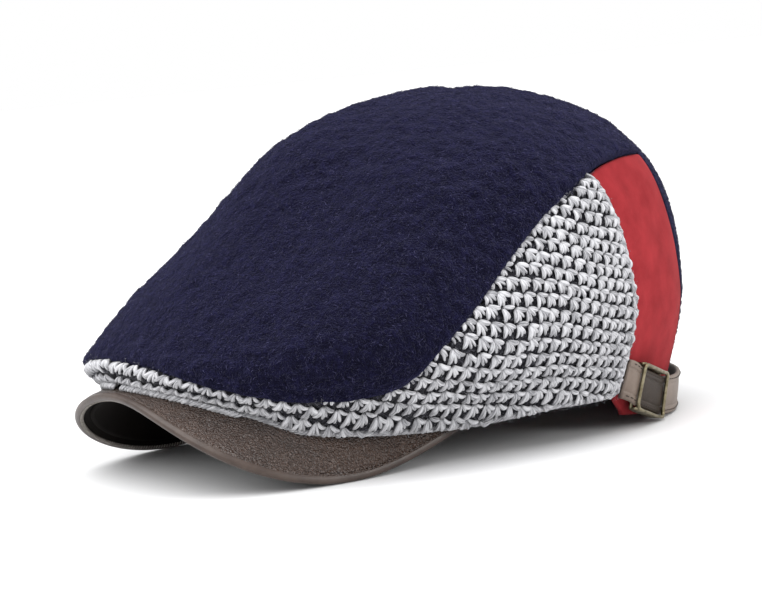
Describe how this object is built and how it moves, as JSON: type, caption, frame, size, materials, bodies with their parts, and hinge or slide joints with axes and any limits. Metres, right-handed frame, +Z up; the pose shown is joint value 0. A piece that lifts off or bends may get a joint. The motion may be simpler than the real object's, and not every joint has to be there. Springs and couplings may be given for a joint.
{
  "type": "flat cap",
  "caption": "Flat cap with a wool crown, knitted sides, felt back panels, an arched leather peak with a lining, and a buckled rear strap.",
  "frame": {"origin": "middle of the cap's bounding box in plan, at the plane that it rests on", "axes": "+Z up, -Y towards the peak, +Y towards the back, +X the wearer's left, where the buckle is"},
  "size_m": [0.198, 0.255, 0.1375],
  "materials": {
    "navy_wool": "boiled wool with a curled nap",
    "marled_knit": "chunky knit, light grey strands over black",
    "red_felt": "fine matte wool felt",
    "brown_leather": "pebbled, satin",
    "peak_lining": "plain dark cloth",
    "taupe_leather": "smooth, satin",
    "aged_brass": "dull antique brass"
  },
  "bodies": {
    "root": {"crown_top": "navy_wool", "knit_side_left": "marled_knit", "knit_side_right": "marled_knit", "back_panel_left": "red_felt", "back_panel_right": "red_felt", "peak": "brown_leather", "peak_lining": "peak_lining", "strap": "taupe_leather", "buckle_tab": "taupe_leather", "buckle": "aged_brass"}
  },
  "joints": []
}
